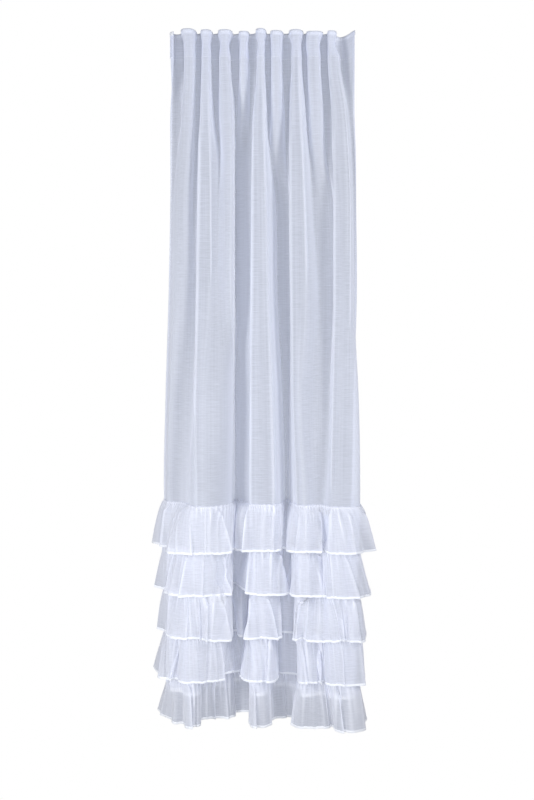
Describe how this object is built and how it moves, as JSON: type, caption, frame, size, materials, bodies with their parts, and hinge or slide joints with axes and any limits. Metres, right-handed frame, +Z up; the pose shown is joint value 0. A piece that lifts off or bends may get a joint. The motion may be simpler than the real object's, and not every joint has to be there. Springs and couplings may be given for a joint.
{
  "type": "sheer curtain",
  "caption": "Gathered sheer voile curtain with soft front folds at its heading, a plain panel, and tiered gathered ruffles on its lower part; hangs from its top edge.",
  "frame": {"origin": "on the line the curtain hangs from, level with the top of its heading folds, halfway across its heading", "axes": "+Z up, the curtain hangs down along -Z; its front faces -Y; +X to the right seen from its front"},
  "size_m": [0.7969, 0.2354, 2.437],
  "materials": {
    "panel_voile": "thin plain-woven sheer voile, cool white, see-through in one layer, with a faint slub",
    "band_voile": "the same sheer voile, sewn flat on the back of the heading as a second layer",
    "ruffle_voile": "the same sheer voile, finely gathered, whiter where it lies in several layers, with narrow rolled hems"
  },
  "bodies": {
    "root": {"panel": "panel_voile", "heading_band": "band_voile", "ruffle_1": "ruffle_voile", "ruffle_2": "ruffle_voile", "ruffle_3": "ruffle_voile", "ruffle_4": "ruffle_voile", "ruffle_5": "ruffle_voile"}
  },
  "joints": []
}
